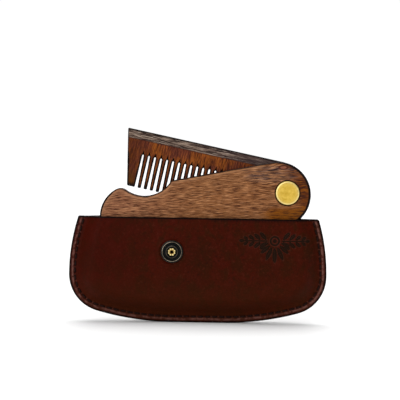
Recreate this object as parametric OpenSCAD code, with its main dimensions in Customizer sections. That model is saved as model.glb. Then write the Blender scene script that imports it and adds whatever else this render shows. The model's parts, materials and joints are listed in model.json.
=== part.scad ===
// Folding wooden beard comb, half opened and half drawn out of its leather pouch.
// +X is the wearer's right of the pouch, -Y is the front and +Z is up.
// The origin is on the middle of the flat stretch of the pouch's bottom edge,
// in the plane where the two leather panels meet. Dimensions are in millimetres.

/* [Pouch] */
// Width of the pouch at its widest
case_w = 123.8; // [120:0.1:130]
// Height of the pouch from its bottom edge to its mouth
case_h = 50.5; // [49.5:0.1:53]
// Thickness of one leather panel
leather_t = 2; // [1.6:0.1:2.4]
// Half of the pouch's inner depth over the comb
inner_half = 5.4; // [5.3:0.1:6.5]
// Width of the flat sewn margin
margin_w = 4.2; // [3.8:0.1:4.6]
// Width of the slope between the margin and the flat middle of a panel
slope_w = 8; // [7:0.1:8.5]
// Inset of the stitches from the edge
stitch_in = 2.9; // [2.5:0.1:3.1]
// Pitch of the stitches
stitch_pitch = 3.4; // [3:0.1:4.5]

/* [Comb handle] */
// Height of the handle
handle_h = 31.6; // [31.6:0.1:32.6]
// Thickness of one wooden scale
scale_t = 2.9; // [2.5:0.1:3]
// Gap between the two scales
scale_gap = 3.6; // [3.6:0.05:3.7]
// Rounding of the scales' outer edges
edge_r = 1; // [0.5:0.1:1.2]

/* [Comb blade] */
// Thickness of the blade
blade_t = 3; // [2.6:0.1:3]
// Distance from the pivot to the spine
spine_v = 14.1; // [13.6:0.1:14.2]
// Distance from the pivot to the line of the tooth tips
tips_v = 13.1; // [12.8:0.1:13.1]
// Number of slots between the teeth
slots = 19; // [17:1:19]
// Pitch of the teeth
tooth_pitch = 2.967; // [2.8:0.001:3]
// Width of the bevel along the spine
bevel_w = 4.4; // [3:0.1:5]

/* [Pose] */
// Tilt of the handle in the pouch
comb_tilt = 11.3; // [11:0.1:11.5]
// Angle by which the blade stands open
blade_open = 22.9; // [0:0.1:180]

/* [Pivot] */
// Diameter of the pivot's two heads
head_d = 11.4; // [10:0.1:12]
// Diameter of the pivot's barrel
barrel_d = 5; // [4.5:0.1:6]

/* [Strap and snap] */
// Width of the closing strap
strap_w = 20; // [18:0.5:22]
// Thickness of the strap
strap_t = 1.5; // [1.2:0.1:1.6]
// Diameter of the stud's flange
stud_d = 10.8; // [10:0.1:11.2]

/* [Hidden] */
$fn = 96;

// Pouch outline: a flat foot, a shallow bottom arc, a corner arc and a side arc on each side
foot_half = 12;
bottom_r = 135;
corner_r = 18.5;
side_r = 93;
side_z = 23;
bottom_c = [foot_half, bottom_r];
side_c = [case_w/2 - side_r, side_z];
corner_c = circle_meet(side_c, side_r - corner_r, bottom_c, bottom_r - corner_r);
corner_a0 = angle_to(bottom_c, corner_c);
corner_a1 = angle_to(side_c, corner_c);
slope_steps = 8;
rise_power = 1.25;
panel_y = inner_half + leather_t;

// Handle, drawn closed and level with its pivot at the origin and its tip at -X
end_r = handle_h/2;
end_c = [-4.7, 0];
tip_r = 15;
tip_c = [-75.6, 2.4];
belly_r = tip_c.y + end_r;
belly_c = [tip_c.x - tip_r + belly_r, tip_c.y];
scoop_r = 15;
scoop_c = [-65, end_r + 9.9];
bump_r = 4.5;
shoulder_r = 2;
bump_c = circle_meet(scoop_c, scoop_r + bump_r, tip_c, tip_r - bump_r);
scoop_dz = scoop_c.y - end_r + shoulder_r;
shoulder_c = [scoop_c.x + sqrt(pow(scoop_r + shoulder_r, 2) - pow(scoop_dz, 2)), end_r - shoulder_r];
pivot = [42.3, 63];
scale_y = scale_gap/2;
handle_y = scale_y + scale_t;

// Blade, drawn in the same way; u runs from the pivot to the tip
shoulder_u = 4.3;
spine_u = 81.3;
tip_u = 75.9;
heel_u = 12.5;
first_slot_u = 71.5;
root_v = 2.9;
slot_root_w = 0.8;
slot_tip_w = 1.4;
tang_r = 8.5;
bevel_depth = 0.55;
spacer_gap = 0.4;
spacer_end = -1.5;
end_gap = 0.8;
stop_r = 1.25;
stop_c = [shoulder_u - stop_r - 0.05, -9.75];
stop_len = scale_gap + 3;

// Pivot
head_t = 1.3;
head_sink = 0.9;
head_clear = 0.3;
fit = 0.05;
thread_d = 3.4;
screw_len = 5.6;
slot_w = 1.2;
slot_depth = 0.6;
washer_t = 0.25;

// Snap and strap
snap = [-12.5, 34.3];
post_r = 1.65;
post_hole_r = 0.6;
nub_r = 3;
nub_h = 3;
fold_r = 1.8;
fold_z = 47.5;
base_z = 33;
base_y = panel_y + strap_t/2;
fold_y = base_y + fold_r;
tab_y = fold_y + fold_r;
reach = case_h - fold_z + 2*base_y + case_h - snap.y;
socket_z = fold_z + PI*fold_r - reach;
tab_end = socket_z - strap_w/2;
socket_r = 5.6;
socket_h = 3.4;
cap_r = 6.3;
cap_h = 1.9;
spring_wire = 0.35;
strap_stitch_in = 2.2;
thread_w = 0.8;
thread_t = 0.4;
stitch_fill = 0.8;

// ---- Plane geometry ----

function angle_to(a, b) = atan2(b.y - a.y, b.x - a.x);

function flip_x(p) = [-p.x, p.y];

function arc(c, r, a0, a1, n) =
    [for (i = [0:n]) let (a = a0 + (a1 - a0)*i/n) [c.x + r*cos(a), c.y + r*sin(a)]];

// The meeting point of two circles that lies to the right of the line from a to b
function circle_meet(a, ra, b, rb) =
    let (d = norm(b - a), u = (b - a)/d, x = (d*d + ra*ra - rb*rb)/(2*d), h = sqrt(ra*ra - x*x))
    a + x*u + h*[u.y, -u.x];

// ---- Pouch outline ----

function side_top(d) = asin((case_h - side_z)/(side_r - d));

// Right half of the outline, inset by d, from the foot up to the mouth
function half_ring(d) = concat(
    arc(bottom_c, bottom_r - d, -90, corner_a0, 7),
    arc(corner_c, corner_r - d, corner_a0, corner_a1, 12),
    arc(side_c, side_r - d, corner_a1, side_top(d), 8));

// Every arc's first point repeats the last one before it, so it is dropped
function unique(points) = [for (i = [0:len(points) - 1])
    if (i == 0 || norm(points[i] - points[i - 1]) > 0.001) points[i]];

function ring(d) = let (half = unique(half_ring(d)), n = len(half))
    concat([for (i = [n - 1:-1:0]) flip_x(half[i])], half);

// Place and direction at a distance s along the seam from the middle of the foot
function seam_at(s, d) =
    let (
        bottom_len = (bottom_r - d)*(corner_a0 + 90)*PI/180,
        corner_len = (corner_r - d)*(corner_a1 - corner_a0)*PI/180,
        s1 = s - foot_half,
        s2 = s1 - bottom_len,
        s3 = s2 - corner_len,
        turn = 180/PI
    )
    s1 < 0 ? [s, d, 0] :
    s2 < 0 ? on_arc(bottom_c, bottom_r - d, -90 + s1/(bottom_r - d)*turn) :
    s3 < 0 ? on_arc(corner_c, corner_r - d, corner_a0 + s2/(corner_r - d)*turn) :
    on_arc(side_c, side_r - d, corner_a1 + s3/(side_r - d)*turn);

function on_arc(c, r, a) = [c.x + r*cos(a), c.y + r*sin(a), a + 90];

// ---- Handle and blade outlines ----

// The handle's outline, inset by c. The first point lies under the scoop.
function handle_outline(c) = unique(concat(
    [[scoop_c.x, c - end_r]],
    arc(end_c, end_r - c, -90, 90, 28),
    arc(shoulder_c, shoulder_r - c, 90, angle_to(shoulder_c, scoop_c), 4),
    arc(scoop_c, scoop_r + c, angle_to(scoop_c, shoulder_c), angle_to(scoop_c, bump_c), 14),
    arc(bump_c, bump_r - c, angle_to(bump_c, scoop_c), angle_to(tip_c, bump_c), 6),
    arc(tip_c, tip_r - c, angle_to(tip_c, bump_c), 180, 8),
    arc(belly_c, belly_r - c, 180, 270, 12)));

function blade_outline() = [
    [-shoulder_u, spine_v], [-spine_u, spine_v], [-tip_u, -tips_v], [-heel_u, -tips_v],
    [-heel_u, -tips_v + 2], [-6, -6], [-shoulder_u, 0]];

function slot_u(i) = first_slot_u - i*tooth_pitch;

// ---- Solids ----

// A flat sketch in X and Z, from y0 back to y1
module plate(y0, y1) {
    translate([0, y1, 0])
        rotate([90, 0, 0])
            linear_extrude(y1 - y0) children();
}

// A turned piece whose axis points to the front, or to the back when back is true
module turned(at, y, back = false) {
    translate([at.x, y, at.y])
        rotate([back ? -90 : 90, 0, 0])
            rotate_extrude() children();
}

module along_y(at, r, y0, y1) {
    translate([at.x, y1, at.y])
        rotate([90, 0, 0])
            cylinder(r = r, h = y1 - y0);
}

module in_handle() {
    translate([pivot.x, 0, pivot.y])
        rotate([0, -comb_tilt, 0])
            children();
}

module in_blade() {
    translate([pivot.x, 0, pivot.y])
        rotate([0, blade_open - comb_tilt, 0])
            children();
}

// Skins a stack of outlines with equal numbers of points; each layer is [y, outline]
module loft(layers) {
    n = len(layers[0][1]);
    last = (len(layers) - 1)*n;
    points = [for (layer = layers) for (p = layer[1]) [p.x, layer[0], p.y]];
    first_cap = [for (i = [0:n - 1]) i == 0 ? 0 : n - i];
    last_cap = [for (i = [0:n - 1]) last + i];
    sides = [for (j = [0:len(layers) - 2]) for (i = [0:n - 1])
        let (a = j*n + i, b = j*n + (i + 1)%n)
        each [[a, b, b + n], [a, b + n, a + n]]];
    polyhedron(points, concat([first_cap, last_cap], sides));
}

// One leather panel: flat at the sewn margin, then a smooth rise to the flat middle
module panel() {
    rises = concat([0], [for (i = [0:slope_steps]) margin_w + slope_w*i/slope_steps]);
    rings = [for (d = rises) ring(d)];
    heights = [for (d = rises) d <= margin_w ? 0 : inner_half*pow(sin(90*(d - margin_w)/slope_w), rise_power)];
    n = len(rings[0]);
    k_last = len(rises) - 1;
    outer = len(rises)*n;
    points = concat(
        [for (k = [0:k_last]) for (p = rings[k]) [p.x, heights[k], p.y]],
        [for (k = [0:k_last]) for (p = rings[k]) [p.x, heights[k] + leather_t, p.y]]);
    skins = [for (k = [0:k_last - 1]) for (i = [0:n - 2])
        let (a = k*n + i, b = a + 1, c = b + n, d = a + n)
        each [[a + outer, b + outer, c + outer], [a + outer, c + outer, d + outer], [a, c, b], [a, d, c]]];
    edge = [for (i = [0:n - 2]) each [[i, i + 1, i + 1 + outer], [i, i + 1 + outer, i + outer]]];
    mouth = [for (k = [0:k_last - 1])
        let (a = k*n, b = a + n, c = a + n - 1, d = c + n)
        each [[a, b + outer, b], [a, a + outer, b + outer], [c, d, d + outer], [c, d + outer, c + outer]]];
    l = k_last*n;
    r = l + n - 1;
    flat_mouth = [[l, r + outer, r], [l, l + outer, r + outer]];
    outer_flat = [for (i = [0:n - 1]) l + outer + i];
    inner_flat = [for (i = [0:n - 1]) i == 0 ? l : l + n - i];
    polyhedron(points, concat(skins, edge, mouth, flat_mouth, [outer_flat, inner_flat]));
}

module case_front() {
    color([0.24, 0.07, 0.05])
        difference() {
            mirror([0, 1, 0]) panel();
            along_y(snap, post_r + fit, -panel_y - 1, 0);
        }
}

module case_back() {
    color([0.2, 0.06, 0.04]) panel();
}

// One stitch, lying flat on a face at y0
module stitch(at, turn, y0, length) {
    translate([at.x, y0, at.y])
        rotate([0, -turn, 0])
            translate([-length/2, 0, -thread_w/2])
                cube([length, thread_t, thread_w]);
}

module seam_thread() {
    half_len = foot_half + (bottom_r - stitch_in)*(corner_a0 + 90)*PI/180
        + (corner_r - stitch_in)*(corner_a1 - corner_a0)*PI/180
        + (side_r - stitch_in)*(side_top(stitch_in) - corner_a1)*PI/180;
    count = floor((half_len - 1)/stitch_pitch);
    color([0.09, 0.04, 0.03])
        for (i = [-count:count - 1]) {
            s = (i + 0.5)*stitch_pitch;
            here = seam_at(abs(s), stitch_in);
            x = sign(s)*here.x;
            turn = sign(s)*here.z;
            for (y0 = [-leather_t - thread_t, leather_t])
                stitch([x, here.y], turn, y0, stitch_pitch*stitch_fill);
        }
}

// The post's rolled end shows as a brass ring in the middle of the stud
module snap_stud() {
    color([0.08, 0.08, 0.08])
        turned(snap, -panel_y)
            polygon([[post_r + fit, 0], [stud_d/2 - 0.3, 0], [stud_d/2, 0.3], [stud_d/2 - 0.3, 0.8],
                     [4.7, 1.1], [4.3, 1.1], [4, 0.6], [2.7, 0.6], [2.6, 1.4], [nub_r, 1.8],
                     [nub_r, nub_h - 0.3], [nub_r - 0.3, nub_h], [2.5, nub_h], [2.2, 2.2],
                     [post_r + fit, 2.2]]);
}

module stud_post() {
    inside = -leather_t;
    color([0.75, 0.6, 0.3])
        turned(snap, -panel_y)
            polygon([[post_hole_r, inside - 0.4], [4.5, inside - 0.4], [4.6, inside],
                     [post_r, inside], [post_r, 2.2], [1.9, 2.3], [1.9, 2.6], [1.5, 2.9],
                     [post_hole_r, 2.5]]);
}

// Strap outline: square at the top, rounded at its end
module strap_shape(z0, z1, round_r) {
    x0 = snap.x - strap_w/2;
    polygon(concat(
        [[x0 + strap_w, z1], [x0, z1]],
        arc([x0 + round_r, z0 + round_r], round_r, 180, 270, 10),
        arc([x0 + strap_w - round_r, z0 + round_r], round_r, 270, 360, 10)));
}

// A quarter of the strap's fold, from angle a0 to a0 + 90 about the fold's centre line
module fold_quarter(a0) {
    translate([snap.x - strap_w/2, fold_y, fold_z])
        rotate([90, 0, 90])
            linear_extrude(strap_w)
                polygon(concat(arc([0, 0], fold_r + strap_t/2, a0, a0 + 90, 10),
                               arc([0, 0], fold_r - strap_t/2, a0 + 90, a0, 10)));
}

module strap_base() {
    color([0.2, 0.06, 0.04])
        union() {
            plate(panel_y, panel_y + strap_t) strap_shape(base_z, fold_z, 3);
            fold_quarter(90);
        }
}

module strap_tab() {
    color([0.22, 0.07, 0.04])
        difference() {
            union() {
                plate(tab_y - strap_t/2, tab_y + strap_t/2) strap_shape(tab_end, fold_z, strap_w/2 - 0.5);
                translate([0, fit, 0]) fold_quarter(0);
            }
            along_y([snap.x, socket_z], post_r + fit, tab_y - strap_t, tab_y + strap_t);
        }
}

module strap_thread() {
    rows = floor((fold_z - base_z - 2*strap_stitch_in)/stitch_pitch);
    columns = floor((strap_w - 2*strap_stitch_in)/stitch_pitch);
    z_low = base_z + strap_stitch_in;
    length = stitch_pitch*stitch_fill;
    color([0.09, 0.04, 0.03])
        for (y0 = [panel_y + strap_t, inner_half - thread_t]) {
            for (side = [-1, 1])
                for (i = [0:rows - 1])
                    stitch([snap.x + side*(strap_w/2 - strap_stitch_in), z_low + (i + 0.7)*stitch_pitch],
                           90, y0, length);
            for (i = [0:columns - 1])
                stitch([snap.x + (i - (columns - 1)/2)*stitch_pitch, z_low], 0, y0, length);
        }
}

// Socket half of the snap: open to the back while the strap hangs folded behind the pouch
module snap_socket() {
    color([0.1, 0.1, 0.1])
        turned([snap.x, socket_z], tab_y + strap_t/2, true)
            polygon([[post_r + fit, 0], [socket_r - 0.6, 0], [socket_r, 0.5], [socket_r, 1.4],
                     [socket_r - 0.7, 2.2], [socket_r - 1, socket_h], [nub_r + 0.3, socket_h],
                     [nub_r + 0.3, 2.4], [nub_r + 1, 2.2], [nub_r + 1, 1.2], [nub_r + 0.2, 1],
                     [nub_r + 0.2, 0.4], [post_r + fit, 0.4]]);
}

module snap_spring() {
    color([0.7, 0.7, 0.7])
        turned([snap.x, socket_z], tab_y + strap_t/2 + 1.7, true)
            translate([nub_r + 0.5, 0]) circle(r = spring_wire, $fn = 24);
}

module snap_cap() {
    color([0.1, 0.1, 0.1])
        turned([snap.x, socket_z], tab_y - strap_t/2)
            polygon(concat([[0, cap_h], [0, -strap_t - 0.9], [post_r + 0.6, -strap_t - 0.9],
                            [post_r + 0.6, -strap_t - 0.4], [post_r, -strap_t - 0.4], [post_r, 0],
                            [cap_r - 0.4, 0]],
                           arc([cap_r - 0.8, 0.8], 0.8, -60, 60, 6),
                           [[cap_r*0.5, cap_h - 0.2]]));
}

// One wooden scale behind the blade, with the pivot's hole and the seat of its head
module scale_half() {
    rounds = [[scale_y, 0], [handle_y - edge_r, 0],
              for (a = [22.5, 45, 67.5, 90]) [handle_y - edge_r + edge_r*sin(a), edge_r*(1 - cos(a))]];
    difference() {
        loft([for (step = rounds) [step[0], handle_outline(step[1])]]);
        along_y([0, 0], barrel_d/2 + fit, 0, handle_y + 1);
        along_y([0, 0], head_d/2 + head_clear, handle_y - head_sink, handle_y + 1);
        along_y(stop_c, stop_r, 0, stop_len/2);
    }
}

module scale_front() {
    color([0.5, 0.29, 0.19])
        in_handle() mirror([0, 1, 0]) scale_half();
}

module scale_back() {
    color([0.48, 0.28, 0.18])
        in_handle() scale_half();
}

// Wooden strip that closes the handle's belly and tip, behind the tooth tips
module handle_spacer() {
    floor_q = -tips_v - spacer_gap;
    color([0.4, 0.22, 0.14])
        in_handle()
            plate(-scale_y, scale_y)
                difference() {
                    polygon(handle_outline(0.2));
                    polygon([[spacer_end, -40], [spacer_end, floor_q], [-tip_u - end_gap, floor_q],
                             [-spine_u - end_gap - 0.6, end_r + 2], [-spine_u, 40], [40, 40], [40, -40]]);
                }
}

module stop_pin() {
    color([0.75, 0.6, 0.3])
        in_handle() along_y(stop_c, stop_r, -stop_len/2, stop_len/2);
}

// Barrel half of the pivot, with its plain head at the front
module pivot_barrel() {
    length = 2*(handle_y - head_sink);
    color([0.85, 0.7, 0.3])
        in_handle()
            turned([0, 0], -handle_y + head_sink)
                polygon([[0, -2], [thread_d/2 + fit, -2], [thread_d/2 + fit, -length], [barrel_d/2, -length],
                         [barrel_d/2, 0], [head_d/2, 0], [head_d/2, head_t - 0.4], [head_d/2 - 0.5, head_t],
                         [0, head_t]]);
}

// Screw half of the pivot, with its slotted head at the back
module pivot_screw() {
    color([0.85, 0.7, 0.3])
        in_handle()
            difference() {
                turned([0, 0], handle_y - head_sink, true)
                    polygon([[0, -screw_len], [thread_d/2, -screw_len], [thread_d/2, 0], [head_d/2, 0],
                             [head_d/2, head_t - 0.4], [head_d/2 - 0.5, head_t], [0, head_t]]);
                translate([-head_d/2 - 1, handle_y - head_sink + head_t - slot_depth, -slot_w/2])
                    cube([head_d + 2, slot_depth + 1, slot_w]);
            }
}

module washer() {
    difference() {
        along_y([0, 0], head_d/2 - 0.4, scale_y - washer_t, scale_y);
        along_y([0, 0], barrel_d/2 + fit, 0, scale_y + 1);
    }
}

module washer_front() {
    color([0.8, 0.65, 0.35])
        in_handle() mirror([0, 1, 0]) washer();
}

module washer_back() {
    color([0.8, 0.65, 0.35])
        in_handle() washer();
}

// Wedge that bevels one face of the blade along its spine
module spine_bevel() {
    translate([-spine_u - 2, 0, 0])
        rotate([90, 0, 90])
            linear_extrude(spine_u + 2)
                polygon([[blade_t/2, spine_v - bevel_w], [blade_t/2 + 1, spine_v - bevel_w],
                         [blade_t/2 + 1, spine_v + 1], [blade_t/2 - bevel_depth*(1 + 1/bevel_w), spine_v + 1]]);
}

module comb_slot(u) {
    root = root_v - slot_root_w/2;
    union() {
        plate(-blade_t, blade_t)
            polygon([[-u - slot_root_w/2, root], [-u - slot_tip_w/2, -tips_v - 1],
                     [-u + slot_tip_w/2, -tips_v - 1], [-u + slot_root_w/2, root]]);
        along_y([-u, root], slot_root_w/2, -blade_t, blade_t);
    }
}

module comb_blade() {
    color([0.36, 0.18, 0.11])
        in_blade()
            difference() {
                union() {
                    plate(-blade_t/2, blade_t/2) polygon(blade_outline());
                    along_y([0, 0], tang_r, -blade_t/2, blade_t/2);
                }
                for (i = [0:slots - 1]) comb_slot(slot_u(i));
                spine_bevel();
                mirror([0, 1, 0]) spine_bevel();
                along_y([0, 0], barrel_d/2 + fit, -blade_t, blade_t);
            }
}

case_front();
case_back();
seam_thread();
snap_stud();
stud_post();
strap_base();
strap_thread();
strap_tab();
snap_socket();
snap_spring();
snap_cap();
scale_front();
scale_back();
handle_spacer();
stop_pin();
pivot_barrel();
pivot_screw();
washer_front();
washer_back();
comb_blade();
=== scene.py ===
import cmath
import json
import math

import bmesh
import bpy
import numpy as np
from mathutils import Matrix, Vector
from mathutils.geometry import delaunay_2d_cdt


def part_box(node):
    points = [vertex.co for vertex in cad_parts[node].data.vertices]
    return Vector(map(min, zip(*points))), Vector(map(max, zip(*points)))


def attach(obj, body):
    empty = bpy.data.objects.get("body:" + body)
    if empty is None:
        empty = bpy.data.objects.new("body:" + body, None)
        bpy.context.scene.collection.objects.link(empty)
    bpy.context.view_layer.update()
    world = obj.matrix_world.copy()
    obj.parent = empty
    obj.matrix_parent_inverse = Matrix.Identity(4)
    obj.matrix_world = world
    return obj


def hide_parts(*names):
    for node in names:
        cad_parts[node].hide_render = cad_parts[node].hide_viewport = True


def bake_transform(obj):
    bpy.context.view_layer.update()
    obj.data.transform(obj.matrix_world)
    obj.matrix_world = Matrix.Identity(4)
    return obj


# Looks of the folding beard comb and its leather pouch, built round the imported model.
# Lengths are in millimetres until build() turns them into metres. A point of a flat
# sketch is a complex number: its real part runs along X and its imaginary part up Z.

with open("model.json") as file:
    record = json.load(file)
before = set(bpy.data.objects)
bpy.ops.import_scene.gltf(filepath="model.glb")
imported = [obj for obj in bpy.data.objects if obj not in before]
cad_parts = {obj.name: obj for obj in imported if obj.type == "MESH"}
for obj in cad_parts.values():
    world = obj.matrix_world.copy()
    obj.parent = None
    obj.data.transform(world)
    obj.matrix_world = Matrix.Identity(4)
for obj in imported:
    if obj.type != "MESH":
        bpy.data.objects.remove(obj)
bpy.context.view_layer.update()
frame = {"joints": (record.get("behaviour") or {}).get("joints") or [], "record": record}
MM = 0.001
TAU = 2 * math.pi


def box_mm(node):
    """Lowest and highest corner of a CAD node, in millimetres."""
    return [np.array(corner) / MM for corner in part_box(node)]


def round_box(node):
    """Centre, radius, front and back of a CAD node that is round about Y."""
    low, high = box_mm(node)
    middle = (low + high) / 2
    return complex(middle[0], middle[2]), (high[0] - low[0]) / 2, low[1], high[1]


def named(rows, name):
    return next(row for row in rows if row["name"] == name)


def flat_place(row):
    """Where a joint or a mount lies in the flat sketch."""
    return complex(row["pos_m"][0], row["pos_m"][2]) / MM


# ---- Sizes that the frame gives ----

HALF_W, PANEL_Y, CASE_H = box_mm("case_back")[1]
SCALE_Y, HANDLE_Y = (corner[1] for corner in box_mm("scale_back"))
BLADE_Y = box_mm("comb_blade")[1][1]
blade_joint = named(frame["joints"], "blade_fold")
PIVOT = flat_place(blade_joint)
BLADE_OPEN = -blade_joint["range_deg"][0]
stud_mount = named(frame["record"]["mounts"], "snap_stud_bead")
SNAP = flat_place(stud_mount)
BEAD_R = stud_mount["dims"]["r_mm"]
STUD_R = round_box("snap_stud")[1]
SOCKET, SOCKET_R, SOCKET_FRONT, SOCKET_BACK = round_box("snap_socket")
TAB_LOW, TAB_HIGH = box_mm("strap_tab")
STRAP_HALF = (TAB_HIGH[0] - TAB_LOW[0]) / 2
BASE_Z = box_mm("strap_base")[0][2]
HEAD_R, HEAD_FRONT = round_box("pivot_barrel")[1:3]

# ---- Sizes repeated from the part's source ----

LEATHER_T = 2.0
INNER_HALF = PANEL_Y - LEATHER_T
MARGIN_W = 4.2
SLOPE_W = 8.0
RISE_POWER = 1.25
STITCH_IN = 2.9
STITCH_PITCH = 3.4
STITCH_GAP = 1.1
RIVET_R = 1.7
COMB_TILT = 11.3
STRAP_T = 1.5
FOLD_Z = 47.5
FOLD_R = 1.8
STRAP_STITCH_IN = 2.2
SLOTS = 19
TOOTH_PITCH = 2.967
FIRST_SLOT_U = 71.5
SPINE_V = 14.1
TIPS_V = 13.1
ROOT_V = 2.9
SLOT_ROOT_W = 0.8
SLOT_TIP_W = 1.4
SPINE_U = 81.3
TIP_U = 75.9
BEVEL_W = 4.4
BEVEL_DEPTH = 0.55
TANG_R = 8.5
BORE_R = 2.55
RUN_OUT_HALF, RUN_OUT_H = 0.6, 2.0

AXIS_R = 0.02  # where a solid profile meets its axis


# ---- Flat geometry ----

def arc(centre, radius, start, end, step=0.8):
    """Points along an arc, with its angles in degrees."""
    count = max(2, math.ceil(abs(math.radians(end - start)) * radius / step))
    return centre + radius * np.exp(1j * np.radians(np.linspace(start, end, count + 1)))


def circle(centre, radius, step=0.4):
    return arc(centre, radius, 0, 360, step)[:-1]


def hole(centre, radius, step=0.4):
    """A clockwise circle, for the outline of a hole."""
    return circle(centre, radius, step)[::-1]


def line(start, end, step=0.8):
    count = max(1, math.ceil(abs(end - start) / step))
    return np.linspace(start, end, count + 1)


def degrees(a, b):
    """Angle of the line from a to b."""
    return math.degrees(cmath.phase(b - a))


def circle_meet(a, radius_a, b, radius_b):
    """Meeting point of two circles, to the right of the line from a to b."""
    gap = abs(b - a)
    ahead = (b - a) / gap
    x = (gap**2 + radius_a**2 - radius_b**2) / (2 * gap)
    return a + ahead * (x - 1j * math.sqrt(radius_a**2 - x**2))


def chain(*parts):
    """Joins paths end to end and drops points that repeat."""
    points = np.concatenate(parts)
    keep = np.abs(np.diff(points, prepend=points[0] - 1)) > 0.001
    return points[keep]


def rounded(corners, step=0.6):
    """Closed outline through (corner, radius) pairs, with straight sides."""
    parts = []
    for k, (corner, radius) in enumerate(corners):
        before = corners[k - 1][0] - corner
        after = corners[(k + 1) % len(corners)][0] - corner
        before /= abs(before)
        after /= abs(after)
        half = abs(cmath.phase(after / before)) / 2
        if radius == 0:
            parts.append(np.array([corner]))
            continue
        middle = (before + after) / abs(before + after)
        centre = corner + middle * radius / math.sin(half)
        first = corner + before * radius / math.tan(half) - centre
        turn = cmath.phase((corner + after * radius / math.tan(half) - centre) / first)
        count = max(3, math.ceil(abs(turn) * radius / step))
        parts.append(centre + first * np.exp(1j * turn * np.linspace(0, 1, count + 1)))
    ends = [(part[-1], parts[(k + 1) % len(parts)][0]) for k, part in enumerate(parts)]
    sides = [line(a, b, step)[1:-1] for a, b in ends]
    return np.concatenate([piece for pair in zip(parts, sides) for piece in pair])


def inside(points, loop):
    """Which points lie inside a closed outline."""
    odd = np.zeros(len(points), bool)
    for a, b in zip(loop, np.roll(loop, -1)):
        if a.imag != b.imag:
            slope = (b.real - a.real) / (b.imag - a.imag)
            crossing = (a.imag > points.imag) != (b.imag > points.imag)
            odd ^= crossing & (points.real < a.real + (points.imag - a.imag) * slope)
    return odd


def nearest(points, path):
    """Distance from each point to a path, and the nearest place along the path."""
    gap = np.full(len(points), 1e9)
    along = np.zeros(len(points))
    travelled = 0.0
    for start, step in zip(path[:-1], np.diff(path)):
        length = abs(step)
        share = np.clip(((points - start) * step.conjugate()).real / length**2, 0, 1)
        here = np.abs(points - start - share * step)
        closer = here < gap
        gap[closer] = here[closer]
        along[closer] = travelled + share[closer] * length
        travelled += length
    return gap, along


def closed(loop):
    return np.append(loop, loop[0])


def walk(path, distances):
    """Points at these distances along a path."""
    lengths = np.concatenate([[0], np.cumsum(np.abs(np.diff(path)))])
    return np.interp(distances, lengths, path.real) + 1j * np.interp(distances, lengths, path.imag)


def path_length(path):
    return float(np.abs(np.diff(path)).sum())


def inset(loop, gap):
    """The closed outline moved inwards by a small gap."""
    ahead = np.roll(loop, -1) - loop
    ahead = ahead / np.abs(ahead)
    both = ahead + np.roll(ahead, 1)
    return loop + 1j * gap * both / np.maximum(np.abs(both) / 2, 0.6) ** 2 / 2


def grid(low, high, step):
    """Staggered rows of points that fill a box."""
    rows = np.arange(low.imag, high.imag, step * 0.87)
    columns = np.arange(low.real, high.real, step)
    shift = (np.arange(len(rows)) % 2) * step / 2
    return (columns[None, :] + shift[:, None] + 1j * rows[:, None]).ravel()


def fill(loops, gaps, step):
    """Points inside outlines: a row along the edges at each gap, and a grid."""
    outer = loops[0]
    rows = [(loop, gap) for loop in loops for gap in gaps]
    edge = np.concatenate([inset(loop, gap) for loop, gap in rows])
    low = complex(outer.real.min(), outer.imag.min())
    high = complex(outer.real.max(), outer.imag.max())
    points = np.concatenate([edge, grid(low, high, step)])
    least = np.concatenate([np.full(len(loop), gap * 0.8) for loop, gap in rows])
    least = np.append(least, np.full(len(points) - len(edge), gaps[-1] + step * 0.5))
    keep = inside(points, outer)
    for loop in loops:
        keep &= nearest(points, closed(loop))[0] > least
    return points[keep]


def drop_over(gap, radius):
    """How far a rounded edge falls away at a gap from the edge."""
    reach = radius - np.clip(gap, 0, radius)
    return radius - np.sqrt(radius**2 - reach**2)


def ease(value, low, high):
    """0 on low's side, 1 on high's side, and a smooth change between them."""
    share = np.clip((value - low) / (high - low), 0, 1)
    return share * share * (3 - 2 * share)


def bell(value, width):
    return np.exp(-((value / width) ** 2))


# ---- Mesh building ----

def upright(points, y):
    """Places a sketch at depth y in the plane of the pouch."""
    return np.column_stack(np.broadcast_arrays(points.real, y, points.imag))


def turned_sketch(angle):
    """Places a sketch that is drawn round the pivot, turned clockwise by an angle."""
    turn = cmath.exp(-1j * math.radians(angle))
    return lambda points, y: upright(PIVOT + points * turn, y)


def add_object(name, data):
    """Puts a mesh, a light or a camera into the scene."""
    thing = bpy.data.objects.new(name, data)
    bpy.context.scene.collection.objects.link(thing)
    return thing


def build(name, verts, faces, paint, body, nodes=(), marks=None, sharp=40):
    """Makes a piece from points in millimetres, which rides on a body and replaces nodes."""
    mesh = bpy.data.meshes.new(name)
    mesh.from_pydata((verts * MM).tolist(), [], faces)
    work = bmesh.new()
    work.from_mesh(mesh)
    bmesh.ops.recalc_face_normals(work, faces=work.faces)
    work.to_mesh(mesh)
    work.free()
    for mark, values in (marks or {}).items():
        attribute = mesh.attributes.new(mark, "FLOAT", "POINT")
        attribute.data.foreach_set("value", values.astype(np.float32))
    mesh.shade_smooth()
    mesh.set_sharp_from_angle(angle=math.radians(sharp))
    mesh.materials.append(paint.material)
    piece = add_object(name, mesh)
    if body:
        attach(piece, body)
    if nodes:
        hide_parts(*nodes)
    return piece


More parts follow.
